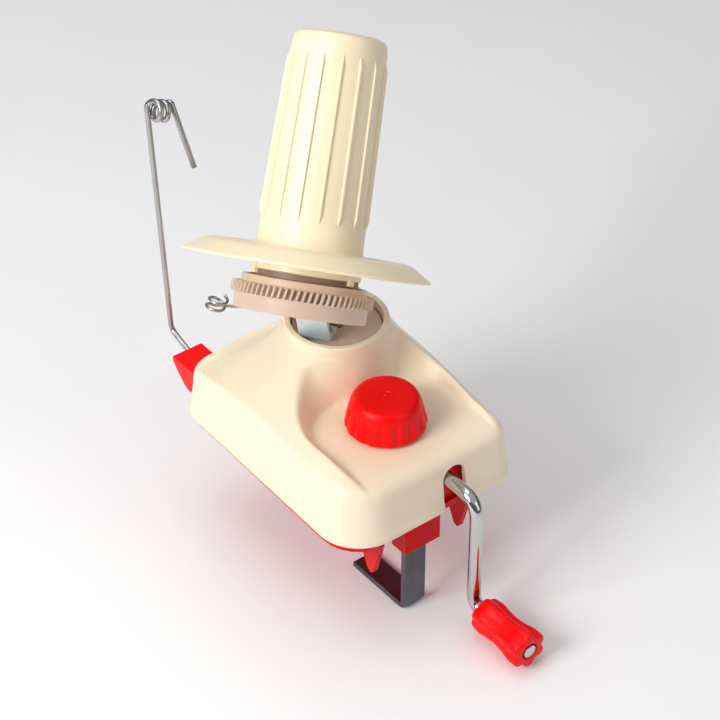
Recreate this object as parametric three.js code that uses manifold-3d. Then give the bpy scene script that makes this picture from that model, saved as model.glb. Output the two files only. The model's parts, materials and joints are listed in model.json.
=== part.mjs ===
// Hand-cranked yarn ball winder that clamps on a table edge. Millimetres, +Z up.
// Origin: where the rotor's vertical axis meets the base underside, which rests on the table.
// -Y is the front, with the crank and the table edge; +Y reaches back over the table.
import * as THREE from 'three';
import { mergeVertices } from 'three/addons/utils/BufferGeometryUtils.js';
import Module from 'manifold-3d';

const wasm = await Module();
wasm.setup();

// ---------------------------------------------------------------- driving dimensions
const GAP = 0.3;                       // running and seating gap between separate pieces

const LEFT = -53.5;                    // outline of the housing, seen from above
const LEFT_BACK = -50.5;
const RIGHT = 36.5;
const FRONT = -77;
const BACK_LEFT_Y = 47.3;
const BACK_RIGHT_Y = 42;
const FRONT_LEFT_RADIUS = 20;
const FRONT_RIGHT_RADIUS = 11;
const BACK_LEFT_RADIUS = 12;
const BACK_RIGHT_RADIUS = 20;

const BASE_THICK = 3.2;                // red base plate
const BASE_INSET = 2.2;               // inside the cover's outline at the left and the back
const BASE_FRONT_INSET = 4.6;         // and at the front
const BASE_RIGHT_INSET = 4;
const COVER_BOTTOM = BASE_THICK + GAP;
const COVER_WALL = 2.4;
const EDGE_TOP = 28.5;                 // height where the sloping top meets the side wall, at the front
const EDGE_RISE = 6.5;                 // how much higher it is beside the neck
const EDGE_FALL = 3;                   // and how much lower along the back
const BACK_HOLLOW = 1.5;               // how much more the top is hollowed towards the back
const EDGE_ROUND = 6;                  // rounding of that edge
const WALL_DRAFT = 2.2;                // the side wall leans in by this much at the top
const NECK_OUTER = 22.3;
const NECK_INNER = 19.6;
const NECK_BASE = 52.5;                // where the sloping top meets the neck
const NECK_TOP = 57;
const DECK_TOP = 30.5;                 // flat recessed deck that carries the knob
const DECK = { left: -39, right: 27.5, back: -21, corner: 17 };
const DECK_WALL_SLOPE = 1.5;
const NECK_FOOT_R = 25;                // where the deck turns up into the neck
const NECK_FOOT_SLOPE = 7;

const KNOB_X = -7.8;
const KNOB_Y = -43;
const KNOB_BASE_R = 17.2;
const KNOB_TOP_R = 14.2;
const KNOB_HEIGHT = 15;
const SCREW_R = 3;
const SCREW_PITCH = 2;

const CRANK_Z = 18.3;                  // height of the crank shaft
const CRANK_R = 3;                     // rod radius
const CRANK_FRONT = -93;               // plane of the crank arm
const CRANK_BEND = 8;
const CRANK_THROW = 56.5;              // shaft axis to grip axis
const GRIP_LENGTH = 29.5;
const GRIP_R = 8;
const SLOT_X = 2.5;                    // arched slot for the crank in the front wall
const SLOT_HALF = 5.9;

const FACE_GEAR_TEETH = 30;
const PINION_TEETH = 12;
const DRIVE_MODULE = 1;
const PINION_R = PINION_TEETH * DRIVE_MODULE / 2;
const FACE_GEAR_R = FACE_GEAR_TEETH * DRIVE_MODULE / 2;
const PINION_FOOT = 29.6;              // underside of the rotor's pinion
const POST_R = 2.5;                    // fixed post through the hollow rotor

const TILT = THREE.MathUtils.degToRad(36);        // lean of the drum and cone
const TILT_AZIMUTH = THREE.MathUtils.degToRad(37);   // the way they lean, from +X towards +Y
const DRUM_OFFSET = 31.1;              // drum centre to rotor axis, against the lean
const DRUM_SIDE = 5.5;                 // and sideways
const DRUM_Z = 90.2;                   // height of the drum centre
const DRUM_TEETH = 72;
const DRUM_R = 28.9;                   // over the teeth
const TOOTH_DEPTH = 1.5;
const SUN_TEETH = 22;

const CLAMP_X0 = -19.5;                // clamp strip, left and right edge
const CLAMP_X1 = -8;
const CLAMP_Y = -71;                   // front face of the strip
const CLAMP_THICK = 2.6;
const JAW_TOP = -45.5;
const JAW_LENGTH = 34;
const CLAMP_BEND = 4.2;                // outside radius of the bend below
const LEG_Z = 8.2;                     // underside of the strip's upper leg

const ARM_X = -37.5;                   // guide arm in its block
const ARM_Z = 21.2;
const ARM_R = 1.1;
const ARM_Y = 70;
const ARM_TOP = 142.5;
const EYELET_R = 3.9;
const COIL_WIRE_R = 0.65;              // tension coil behind the neck
const COIL_LOOP_R = 3.8;
const COIL_FOOT = { x: -4, y: 30, z: 34.5 };
const COIL_TURNS = 1.9;
const COIL_RISE = 6.6;                 // over those turns
const TONGUE = { x0: -44, x1: -36, y0: 40, z0: 12.8, z1: 16.8 };   // holds the arm block in the cover

// ---------------------------------------------------------------- materials
const standard = (name, color, roughness, metalness) => (
  new THREE.MeshStandardMaterial({ name, color, roughness, metalness }));
const plastic = (name, color, roughness) => standard(name, color, roughness, 0);
const metal = (name, color, roughness) => standard(name, color, roughness, 1);
const cream = () => plastic('cream', 0xf5e9c9, 0.4);
const beige = () => plastic('beige', 0xd9c4ad, 0.5);
const red = () => plastic('red', 0xe3101a, 0.35);
const darkRed = () => plastic('dark red', 0xa80d14, 0.4);
const gearPlastic = () => plastic('gear white', 0xe9e7e0, 0.45);
const chrome = () => metal('chrome', 0xdadde0, 0.12);
const zinc = () => metal('zinc plate', 0xb9c4cc, 0.35);
const steel = () => metal('steel', 0x9a9da1, 0.3);

// ---------------------------------------------------------------- solid helpers
// A closed three.js geometry becomes a solid that can be cut and joined.
function solid(geometry) {
  let plain = geometry.index ? geometry.toNonIndexed() : geometry.clone();
  plain.deleteAttribute('normal');
  plain.deleteAttribute('uv');
  plain = mergeVertices(plain, 1e-4);
  const vertProperties = new Float32Array(plain.attributes.position.array);
  const triVerts = new Uint32Array(plain.index.array);
  return new wasm.Manifold(new wasm.Mesh({ numProp: 3, vertProperties, triVerts }));
}

function geometryOf(body) {
  const mesh = body.getMesh();
  const geometry = new THREE.BufferGeometry();
  geometry.setAttribute('position', new THREE.BufferAttribute(new Float32Array(mesh.vertProperties), 3));
  geometry.setIndex(new THREE.BufferAttribute(new Uint32Array(mesh.triVerts), 1));
  geometry.computeVertexNormals();
  return geometry;
}

const joined = bodies => bodies.reduce((whole, body) => whole.add(body));

function box(x0, x1, y0, y1, z0, z1) {
  return new THREE.BoxGeometry(x1 - x0, y1 - y0, z1 - z0)
    .translate((x0 + x1) / 2, (y0 + y1) / 2, (z0 + z1) / 2);
}

// Cylinder along Z from z0 to z1.
function rod(radius, z0, z1, x = 0, y = 0, sides = 24) {
  return new THREE.CylinderGeometry(radius, radius, z1 - z0, sides).rotateX(Math.PI / 2)
    .translate(x, y, (z0 + z1) / 2);
}

// Cylinder along Y from y0 to y1.
function rodY(radius, y0, y1, x = 0, z = 0, sides = 24) {
  return new THREE.CylinderGeometry(radius, radius, y1 - y0, sides).translate(x, (y0 + y1) / 2, z);
}

// Body of revolution about Z from [radius, height] pairs.
function turned(profile, segments = 48) {
  const points = profile.map(([r, z]) => new THREE.Vector2(r, z));
  return new THREE.LatheGeometry(points, segments).rotateX(Math.PI / 2);
}

// The same with a closed profile that stays off the axis.
const turnedRing = (profile, segments) => turned([...profile, profile[0]], segments);

function circleShape(radius, sides) {
  const points = Array.from({ length: sides }, (_, i) => {
    const angle = 2 * Math.PI * i / sides;
    return new THREE.Vector2(radius * Math.cos(angle), radius * Math.sin(angle));
  });
  return new THREE.Shape(points);
}

// Round wire or rod swept along a curve.
function wire(curve, radius, steps, sides = 8) {
  return new THREE.ExtrudeGeometry(circleShape(radius, sides),
    { steps, extrudePath: curve, bevelEnabled: false });
}

// Curve through straight runs with round bends; radii holds the bend radius at each inner corner.
function bentPath(corners, radii) {
  const path = new THREE.CurvePath();
  let start = corners[0];
  for (let i = 1; i < corners.length - 1; i += 1) {
    const before = corners[i - 1].clone().sub(corners[i]).normalize();
    const after = corners[i + 1].clone().sub(corners[i]).normalize();
    const back = radii[i - 1] / Math.tan(before.angleTo(after) / 2);
    const enter = corners[i].clone().addScaledVector(before, back);
    const leave = corners[i].clone().addScaledVector(after, back);
    path.add(new THREE.LineCurve3(start, enter));
    path.add(new ArcCurve(enter, corners[i], leave));
    start = leave;
  }
  path.add(new THREE.LineCurve3(start, corners[corners.length - 1]));
  return path;
}

// Circular arc that leaves `from` towards `corner` and arrives at `to`.
class ArcCurve extends THREE.Curve {
  constructor(from, corner, to) {
    super();
    this.from = from;
    const inward = from.clone().sub(corner).normalize();
    const outward = to.clone().sub(corner).normalize();
    const half = inward.angleTo(outward) / 2;
    const reach = from.distanceTo(corner);
    this.radius = reach * Math.tan(half);
    this.sweep = Math.PI - 2 * half;
    const middle = inward.clone().add(outward).normalize();
    this.centre = corner.clone().addScaledVector(middle, reach / Math.cos(half));
    this.u = from.clone().sub(this.centre).normalize();
    this.v = inward.clone().negate();
  }

  getPoint(t, target = new THREE.Vector3()) {
    const angle = this.sweep * t;
    return target.copy(this.centre).addScaledVector(this.u, this.radius * Math.cos(angle))
      .addScaledVector(this.v, this.radius * Math.sin(angle));
  }
}

// Spur gear outline: straight-sided teeth, each a share of the pitch wide at the root and at the tip.
function gearShape(teeth, rootR, tipR, rootShare, tipShare, phase = 0) {
  const points = [];
  const pitch = 2 * Math.PI / teeth;
  for (let i = 0; i < teeth; i += 1) {
    const middle = i * pitch + phase;
    const flank = [[rootR, -rootShare], [tipR, -tipShare], [tipR, tipShare], [rootR, rootShare]];
    for (const [radius, share] of flank) {
      const angle = middle + share * pitch / 2;
      points.push(new THREE.Vector2(radius * Math.cos(angle), radius * Math.sin(angle)));
    }
  }
  return new THREE.Shape(points);
}

const winder = new THREE.Group();

function addPart(name, geometry, material, parent = winder) {
  const mesh = new THREE.Mesh(geometry, material);
  mesh.name = name;
  parent.add(mesh);
  return mesh;
}

// ---------------------------------------------------------------- housing outline
// Rounded four-sided outline, walked anticlockwise, moved in by `inset`.
function outlinePoints(inset) {
  const corners = [
    { x: LEFT, y: FRONT, r: FRONT_LEFT_RADIUS, steps: 6, sideSteps: 5 },
    { x: RIGHT, y: FRONT, r: FRONT_RIGHT_RADIUS, steps: 4, sideSteps: 12 },
    { x: RIGHT, y: BACK_RIGHT_Y, r: BACK_RIGHT_RADIUS, steps: 5, sideSteps: 6 },
    { x: LEFT_BACK, y: BACK_LEFT_Y, r: BACK_LEFT_RADIUS, steps: 5, sideSteps: 8 },
  ];
  const arcs = corners.map((corner, i) => {
    const here = new THREE.Vector3(corner.x, corner.y, 0);
    const previous = corners[(i + 3) % 4];
    const next = corners[(i + 1) % 4];
    const toPrevious = new THREE.Vector3(previous.x, previous.y, 0).sub(here).normalize();
    const toNext = new THREE.Vector3(next.x, next.y, 0).sub(here).normalize();
    const reach = corner.r / Math.tan(toPrevious.angleTo(toNext) / 2);
    const from = here.clone().addScaledVector(toPrevious, reach);
    const to = here.clone().addScaledVector(toNext, reach);
    const arc = new ArcCurve(from, here, to);
    arc.radius -= inset;
    return arc;
  });
  const points = [];
  arcs.forEach((arc, i) => {
    const { steps, sideSteps } = corners[i];
    for (let k = 0; k <= steps; k += 1) points.push(arc.getPoint(k / steps));
    const end = arc.getPoint(1);
    const start = arcs[(i + 1) % 4].getPoint(0);
    for (let k = 1; k < sideSteps; k += 1) points.push(end.clone().lerp(start, k / sideSteps));
  });
  return points;
}

const smoothMin = (a, b, k) => {
  const h = Math.max(k - Math.abs(a - b), 0) / k;
  return Math.min(a, b) - h * h * k / 4;
};

// Distance outside the deck's rounded outline, which is open to the front.
function outsideDeck(x, y) {
  const middle = (DECK.left + DECK.right) / 2;
  const dx = Math.abs(x - middle) - ((DECK.right - DECK.left) / 2 - DECK.corner);
  const dy = y - (DECK.back - DECK.corner);
  return Math.max(0, Math.hypot(Math.max(dx, 0), Math.max(dy, 0)) - DECK.corner);
}

const clamp01 = value => Math.min(1, Math.max(0, value));

// Height of the top edge: highest where the outline passes close to the neck, lowest at the back.
function edgeHeight(edge) {
  const nearNeck = clamp01((70 - Math.hypot(edge.x, edge.y)) / 34);
  return EDGE_TOP + EDGE_RISE * nearNeck - EDGE_FALL * clamp01(edge.y / 42) ** 1.5;
}

// Height of the cover's outside at a place, where `share` runs from 0 at the edge to 1 at the neck.
// `wall` is 0 for the outside and the wall thickness for the inside.
function coverHeight(x, y, share, edgeTop, wall) {
  const hollow = 1.1 + BACK_HOLLOW * Math.max(0, y) / Math.hypot(x, y);
  const slope = edgeTop + (NECK_BASE - edgeTop) * share ** hollow;
  const neckFoot = NECK_FOOT_SLOPE * Math.max(0, NECK_FOOT_R - wall - Math.hypot(x, y));
  const deck = DECK_TOP + DECK_WALL_SLOPE * Math.max(0, outsideDeck(x, y) - wall) + neckFoot;
  return smoothMin(slope, deck, 3) - wall;
}

function ringLoft(rings) {
  const count = rings[0].length;
  const positions = rings.flat().flatMap(p => [p.x, p.y, p.z]);
  const index = [];
  rings.forEach((_, j) => {
    const next = (j + 1) % rings.length;
    for (let i = 0; i < count; i += 1) {
      const k = (i + 1) % count;
      const [a, b, c, d] = [j * count + i, j * count + k, next * count + k, next * count + i];
      index.push(a, c, b, a, d, c);
    }
  });
  const geometry = new THREE.BufferGeometry();
  geometry.setAttribute('position', new THREE.Float32BufferAttribute(positions, 3));
  geometry.setIndex(index);
  return geometry;
}

const wallRing = (points, z) => points.map(p => new THREE.Vector3(p.x, p.y, z));

function slopeRing(edge, share, drop, wall = 0) {
  return edge.map(p => {
    const edgeR = Math.hypot(p.x, p.y);
    const radius = edgeR + (NECK_OUTER - wall - edgeR) * share;
    const x = p.x / edgeR * radius;
    const y = p.y / edgeR * radius;
    return new THREE.Vector3(x, y, coverHeight(x, y, share, edgeHeight(p), wall) - drop);
  });
}

const EDGE_SHARE = 0.09;               // share of the slope taken up by the rounded edge

// Rings down the outside, over the rounded edge to the bottom of the wall, grown by `grow`.
function outsideRings(shares, grow = 0) {
  const edge = outlinePoints(WALL_DRAFT - grow);
  const rings = shares.map(share => slopeRing(edge, share, -grow));
  for (const turn of [30, 60]) {
    const angle = THREE.MathUtils.degToRad(turn);
    const drop = EDGE_ROUND * (1 - Math.cos(angle)) - grow;
    rings.push(slopeRing(edge, EDGE_SHARE * (1 - Math.sin(angle)), drop));
  }
  rings.push(edge.map(p => new THREE.Vector3(p.x, p.y, edgeHeight(p) - EDGE_ROUND)));
  rings.push(wallRing(outlinePoints(-grow), COVER_BOTTOM));
  return rings;
}

function coverShell() {
  const outline = outlinePoints(0);
  const innerTop = outlinePoints(COVER_WALL + WALL_DRAFT);
  const neckRing = (radius, z) => outline.map(p => {
    const angle = Math.atan2(p.y, p.x);
    return new THREE.Vector3(radius * Math.cos(angle), radius * Math.sin(angle), z);
  });
  const shares = [1, 0.95, 0.9, 0.82, 0.73, 0.62, 0.5, 0.38, 0.26, 0.15, EDGE_SHARE];
  const rings = [neckRing(NECK_INNER, NECK_BASE - 1.5), neckRing(NECK_INNER, NECK_TOP - 0.8),
    neckRing(NECK_INNER + 0.6, NECK_TOP), neckRing(NECK_OUTER - 0.8, NECK_TOP),
    neckRing(NECK_OUTER, NECK_TOP - 1),
    ...outsideRings(shares),
    wallRing(outlinePoints(COVER_WALL), COVER_BOTTOM),
    innerTop.map(p => new THREE.Vector3(p.x, p.y, edgeHeight(p) - EDGE_ROUND - 1))];
  for (const share of shares.toReversed()) rings.push(slopeRing(innerTop, share, 0, COVER_WALL));
  return solid(ringLoft(rings));
}

// Cover: shell with the arched crank slot, holes for the clamp screw, arm block and coil, and screw posts.
function coverGeometry() {
  const slot = solid(box(SLOT_X - SLOT_HALF, SLOT_X + SLOT_HALF, FRONT - 6, FRONT + 9, -1, CRANK_Z))
    .add(solid(rodY(SLOT_HALF, FRONT - 6, FRONT + 9, SLOT_X, CRANK_Z)));
  const screwHole = solid(rod(SCREW_R + 0.6, 20, 40, KNOB_X, KNOB_Y));
  const tongueSlot = solid(box(TONGUE.x0 - GAP, TONGUE.x1 + GAP, TONGUE.y0 - GAP, 60,
    TONGUE.z0 - GAP, TONGUE.z1 + GAP));
  const coilHole = solid(rod(COIL_WIRE_R + GAP, 30, 60, COIL_FOOT.x, COIL_FOOT.y, 12));
  const shell = coverShell();
  const posts = SCREW_PLACES.map(([x, y]) => {
    const roof = shell.intersect(solid(rod(4, 10, 60, x, y, 16))).boundingBox().min[2];
    return solid(rod(4, 8.5, roof + 1.2, x, y, 16));
  });
  const pilots = SCREW_PLACES.map(([x, y]) => solid(rod(COVER_SCREW_R + 0.1, 5, 20, x, y, 12)));
  const body = joined([shell, ...posts]);
  return geometryOf([slot, screwHole, tongueSlot, coilHole, ...pilots]
    .reduce((rest, cut) => rest.subtract(cut), body));
}

// ---------------------------------------------------------------- base
const SCREW_PLACES = [[-43, -60], [27, -62], [-38, 34], [24, 28]];
const COVER_SCREW_R = 1.7;
const TAB_XS = [-36, 10];               // stop tabs that hang in front of the table edge
const TAB_THICK = 2.4;
const BEARING_Y = -68.6;               // back face of the wall behind the crank slot

function plateShape(points) {
  return new THREE.Shape(points.map(p => new THREE.Vector2(p.x, p.y)));
}

function extrudedZ(shape, z0, z1) {
  return new THREE.ExtrudeGeometry(shape, { depth: z1 - z0, bevelEnabled: false }).translate(0, 0, z0);
}

// Plate standing across the machine: an x-z outline with its front face at y0.
function uprightPlate(outline, y0, y1) {
  const shape = new THREE.Shape(outline.map(([x, z]) => new THREE.Vector2(x, z)));
  return new THREE.ExtrudeGeometry(shape, { depth: y1 - y0, bevelEnabled: false }).rotateX(Math.PI / 2)
    .translate(0, y1, 0);
}

// Plate standing front to back: a y-z outline from x0 to x1.
function sidePlate(outline, x0, x1) {
  const shape = new THREE.Shape(outline.map(([y, z]) => new THREE.Vector2(y, z)));
  const yzx = new THREE.Matrix4().makeBasis(new THREE.Vector3(0, 1, 0), new THREE.Vector3(0, 0, 1),
    new THREE.Vector3(1, 0, 0));
  return new THREE.ExtrudeGeometry(shape, { depth: x1 - x0, bevelEnabled: false }).applyMatrix4(yzx)
    .translate(x0, 0, 0);
}

const archOutline = (half, z0, centre, steps = 12) => [
  [-half, z0],
  [half, z0],
  ...Array.from({ length: steps + 1 }, (_, i) => {
    const angle = Math.PI * i / steps;
    return [half * Math.cos(angle), centre + half * Math.sin(angle)];
  }),
];

function basePlateGeometry() {
  const plate = solid(extrudedZ(plateShape(outlinePoints(BASE_INSET)), 0, BASE_THICK))
    .intersect(solid(box(LEFT, RIGHT - BASE_RIGHT_INSET, FRONT + BASE_FRONT_INSET, BACK_LEFT_Y,
      -1, BASE_THICK + 1)));
  const boss = solid(box(-22, -3.5, FRONT + 2.8, CLAMP_Y + CLAMP_THICK + 3, -12, 1));
  const clampSlot = solid(box(CLAMP_X0 - GAP, CLAMP_X1 + GAP,
    CLAMP_Y - GAP, CLAMP_Y + CLAMP_THICK + GAP, -20, 10));
  const behindSlot = archOutline(9, 1, CRANK_Z - 4).map(([x, z]) => [x + 1.4, z]);
  const frontWall = solid(uprightPlate(behindSlot, BEARING_Y - 1.8, BEARING_Y));
  const innerWall = solid(uprightPlate(archOutline(6, 1, CRANK_Z), -23, -19));
  const shaftHole = solid(rodY(CRANK_R + 0.3, FRONT - 2, -10, 0, CRANK_Z));
  const postBoss = solid(rod(4.4, 1, PINION_FOOT - 0.4));
  const postHole = solid(rod(POST_R + 0.05, BASE_THICK, 40));
  const tabs = TAB_XS.map(x => solid(sidePlate([[FRONT + 1.8, 1], [FRONT + 6.5, -16.2], [FRONT + 8, -17.4],
    [FRONT + 9.8, -16.4], [FRONT + 13, -10], [FRONT + 13, 1]], x, x + TAB_THICK)));
  const gearPocket = solid(box(-11, 11, -11, -4.9, 1.7, 5));
  const posts = SCREW_PLACES.map(([x, y]) => solid(rod(4, 1, 8.2, x, y, 16)));
  const holes = SCREW_PLACES.map(([x, y]) => solid(rod(COVER_SCREW_R + 0.1, -1, 40, x, y, 12)));
  const headHoles = SCREW_PLACES.map(([x, y]) => solid(rod(3.4, -1, 1.8, x, y, 16)));
  const body = joined([plate, boss, frontWall, innerWall, postBoss, ...tabs, ...posts]);
  return geometryOf([clampSlot, gearPocket, shaftHole, postHole, ...holes, ...headHoles]
    .reduce((rest, cut) => rest.subtract(cut), body));
}

function coverScrewGeometry(x, y) {
  const shank = COVER_SCREW_R - 0.1;
  return turned([[0, 0.1], [3, 0.1], [3, 1.5], [shank, 1.5], [shank, 18], [0, 19]], 12)
    .translate(x, y, 0);
}

// ---------------------------------------------------------------- crank, grip and drive gear
function crankGeometry() {
  const axisY = (y, z) => new THREE.Vector3(0, y, z);
  const gripZ = CRANK_Z - CRANK_THROW;
  const path = bentPath([axisY(-6.5, CRANK_Z), axisY(CRANK_FRONT, CRANK_Z), axisY(CRANK_FRONT, gripZ),
    axisY(CRANK_FRONT - GRIP_LENGTH - 7, gripZ)], [CRANK_BEND, 5.5]);
  const arm = solid(wire(path, CRANK_R, 52, 10));
  const ringGroove = solid(rodY(CRANK_R + 1, -27.6, -26.2, 0, CRANK_Z))
    .subtract(solid(rodY(CRANK_R - 0.6, -28, -26, 0, CRANK_Z)));
  const pinHole = solid(rod(1.15, CRANK_Z - 10, CRANK_Z + 10, 0, -13.4, 12));
  return geometryOf(arm.subtract(ringGroove).subtract(pinHole));
}

const FACE_GEAR_FRONT = -16.5;
const FACE_GEAR_DISC = -8.3;

// Face gear: a disc with a hub and a rim of teeth that point at the rotor.
function faceGearGeometry() {
  const hub = solid(rodY(6.2, FACE_GEAR_FRONT, FACE_GEAR_DISC, 0, CRANK_Z));
  const disc = solid(rodY(FACE_GEAR_R + 1.3, FACE_GEAR_DISC - 2, FACE_GEAR_DISC, 0, CRANK_Z, 60));
  const teeth = Array.from({ length: FACE_GEAR_TEETH }, (_, i) => {
    const outline = [[-0.62, -1.7], [0.62, -1.7], [0.43, 1.1], [-0.43, 1.1]];
    const tooth = uprightPlate(outline, FACE_GEAR_DISC - 0.5, -5.5);
    return solid(tooth.translate(0, 0, FACE_GEAR_R).rotateY(2 * Math.PI * i / FACE_GEAR_TEETH)
      .translate(0, 0, CRANK_Z));
  });
  const bore = solid(rodY(CRANK_R + 0.25, -40, 0, 0, CRANK_Z));
  const pinHole = solid(rod(1.15, CRANK_Z - 10, CRANK_Z + 10, 0, -13.4, 12));
  return geometryOf(joined([hub, disc, ...teeth]).subtract(bore).subtract(pinHole));
}

function gripGeometry() {
  const steps = 36;
  const section = (radius, lobe) => new THREE.Shape(Array.from({ length: steps }, (_, i) => {
    const angle = 2 * Math.PI * i / steps;
    const r = radius - lobe * (1 + Math.cos(6 * angle)) / 2;
    return new THREE.Vector2(r * Math.cos(angle), r * Math.sin(angle));
  }));
  const blank = new THREE.ExtrudeGeometry(section(1, 0.16), { depth: 1, steps: 6, bevelEnabled: false });
  const place = blank.attributes.position;
  const widths = [0.93, 1, 0.93, 0.9, 0.97, 1.08, 1.07];
  for (let i = 0; i < place.count; i += 1) {
    const level = Math.round(place.getZ(i) * 6);
    const radius = GRIP_R * widths[level];
    place.setXYZ(i, place.getX(i) * radius, place.getY(i) * radius, place.getZ(i) * GRIP_LENGTH);
  }
  const gripZ = CRANK_Z - CRANK_THROW;
  const start = CRANK_FRONT - 6.5;
  const handle = solid(blank.rotateX(Math.PI / 2).translate(0, start, gripZ));
  const bore = solid(rodY(CRANK_R + 0.35, start - GRIP_LENGTH - 1, start + 1, 0, gripZ));
  return geometryOf(handle.subtract(bore));
}

// ---------------------------------------------------------------- rotor
function turntableGeometry() {
  return turnedRing([[2.85, PINION_FOOT], [3.9, PINION_FOOT], [3.9, 39], [6, 39], [6, 48],
    [NECK_INNER - 0.6, 49.6],
    [NECK_INNER - 0.6, 53], [2.85, 53]], 48);
}

function rotorPinionGeometry() {
  const shape = gearShape(PINION_TEETH, PINION_R - 1.05, PINION_R + 0.6, 0.5, 0.22, Math.PI / PINION_TEETH);
  shape.holes.push(circleShape(4.2, 24));
  return extrudedZ(shape, PINION_FOOT, 38.6);
}

// ---------------------------------------------------------------- tilted spindle
// The tilted group: its origin is the drum centre, its Z the drum axis, and its -X side leans up.
const tilted = new THREE.Group();
const lean = new THREE.Vector3(Math.cos(TILT_AZIMUTH), Math.sin(TILT_AZIMUTH), 0);
const across = new THREE.Vector3(-lean.y, lean.x, 0);
const up = new THREE.Vector3(0, 0, 1);
const drumAxis = up.clone().multiplyScalar(Math.cos(TILT)).addScaledVector(lean, Math.sin(TILT));
const downhill = lean.clone().multiplyScalar(Math.cos(TILT)).addScaledVector(up, -Math.sin(TILT));
tilted.quaternion.setFromRotationMatrix(new THREE.Matrix4().makeBasis(downhill, across, drumAxis));
tilted.position.copy(lean).multiplyScalar(-DRUM_OFFSET).addScaledVector(across, DRUM_SIDE)
  .addScaledVector(up, DRUM_Z);
winder.add(tilted);

// The bracket group stands upright and turns with the lean: its X points the way the drum leans.
const upright = new THREE.Group();
upright.rotation.z = TILT_AZIMUTH;
winder.add(upright);

const BRACKET_THICK = 1.8;
const BRACKET_HALF = 6.8;
const BRACKET_SIDE = 5.6;              // middle of the strip, level with the drum's centre
const LEG_DEPTH = 4.6;                 // drum centre down to the top face of the tilted leg
const FOOT_Z = 53.3;
const RIVET_X = -7.9;
const RIVET_SIDES = [BRACKET_SIDE - 3.2, BRACKET_SIDE + 3.2];

// A place given along and square to the drum's plane, in the upright group's x and z.
const onDrumPlane = (downhillBy, axisBy) => new THREE.Vector2(
  -DRUM_OFFSET + downhillBy * Math.cos(TILT) + axisBy * Math.sin(TILT),
  DRUM_Z - downhillBy * Math.sin(TILT) + axisBy * Math.cos(TILT),
);

// Outline of a bent strip from the corners of one face; the other face lies to the left of the walk.
function stripShape(corners, thickness) {
  const normals = corners.slice(1).map((corner, i) => {
    const step = corner.clone().sub(corners[i]).normalize();
    return new THREE.Vector2(-step.y, step.x);
  });
  const far = corners.map((corner, i) => {
    const before = normals[Math.max(i - 1, 0)];
    const after = normals[Math.min(i, normals.length - 1)];
    const mitre = before.clone().add(after).normalize();
    return corner.clone().addScaledVector(mitre, thickness / mitre.dot(before));
  });
  return new THREE.Shape([...corners, ...far.toReversed()]);
}

// Bent strip: foot on the turntable, web leaning out, leg tilted inside the drum's skirt.
function bracketGeometry() {
  const footTop = FOOT_Z + BRACKET_THICK;
  const corners = [new THREE.Vector2(-4.2, footTop), new THREE.Vector2(-12.4, footTop),
    onDrumPlane(17.3, -LEG_DEPTH), onDrumPlane(-7, -LEG_DEPTH)];
  const strip = new THREE.ExtrudeGeometry(stripShape(corners, BRACKET_THICK),
    { depth: 2 * BRACKET_HALF, bevelEnabled: false })
    .rotateX(Math.PI / 2).translate(0, BRACKET_SIDE + BRACKET_HALF, 0);
  const axleHole = rod(2.9, -LEG_DEPTH - 4, -LEG_DEPTH + 2).rotateY(TILT)
    .translate(-DRUM_OFFSET, DRUM_SIDE, DRUM_Z);
  let bracket = solid(strip).subtract(solid(axleHole));
  for (const y of RIVET_SIDES) bracket = bracket.subtract(solid(rod(1.8, 50, 60, RIVET_X, y, 16)));
  return geometryOf(bracket);
}

function rivetGeometry(y) {
  const seat = FOOT_Z + BRACKET_THICK + GAP;
  return turned([[0, 48.2], [1.5, 48.2], [1.5, seat], [2.6, seat],
    [1.8, seat - GAP + 1.6], [0, seat - GAP + 1.8]], 16).translate(RIVET_X, y, 0);
}

function turntableWithRivetHoles() {
  let plate = solid(turntableGeometry().rotateZ(TILT_AZIMUTH));
  for (const y of RIVET_SIDES) {
    plate = plate.subtract(solid(rod(1.8, 40, 60, RIVET_X, y, 16).rotateZ(TILT_AZIMUTH)));
  }
  return geometryOf(plate);
}

const AXLE_R = 3;
const HUB_R = 6;

function axleGeometry() {
  return turned([[0, -LEG_DEPTH - BRACKET_THICK - 2.3], [4.4, -LEG_DEPTH - BRACKET_THICK - 2.3],
    [4.4, -LEG_DEPTH - BRACKET_THICK - GAP], [2.6, -LEG_DEPTH - BRACKET_THICK - GAP], [2.6, -LEG_DEPTH + GAP],
    [AXLE_R, -LEG_DEPTH + GAP], [AXLE_R, 4.4], [AXLE_R - 0.7, 4.4], [AXLE_R - 0.7, 5.9],
    [AXLE_R, 5.9], [AXLE_R, 7.4],
    [0, 7.4]], 20);
}

function drumGeometry() {
  const body = turnedRing([[AXLE_R + 0.35, -4.2], [HUB_R, -4.2], [HUB_R, -0.6], [24.4, -0.6],
    [25, -8.6], [26.8, -8.6],
    [27.1, -2.2], [27.1, 2.2], [25.4, 2.2], [25.3, 5.4], [22.9, 5.4], [22.9, 1.4], [HUB_R, 1.4], [HUB_R, 3.9],
    [AXLE_R + 0.35, 3.9]], 48);
  const shape = gearShape(DRUM_TEETH, DRUM_R - TOOTH_DEPTH, DRUM_R, 0.52, 0.34);
  shape.holes.push(circleShape(26.2, 48));
  const band = extrudedZ(shape, -2.2, 2.2);
  return geometryOf(solid(body).add(solid(band)));
}

const CONE_FOOT = 1.8;                 // bottom of the cone's collar inside the drum's cup
const FLANGE_Z = 16;                   // underside of the flange disc
const FLANGE_THICK = 2;
const FLANGE_R = 50.4;
const FLANGE_CREASE_R = 41;            // where the flat disc turns down into the lip
const LIP_DROP = 6.8;
const CONE_TOP = 105;
const CONE_FOOT_R = 21.6;
const CONE_TOP_R = 19.2;
const CONE_WALL = 1.8;
const CONE_RIBS = 16;
const RIB_PHASE = 0.83;                // of the spacing between ribs

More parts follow.
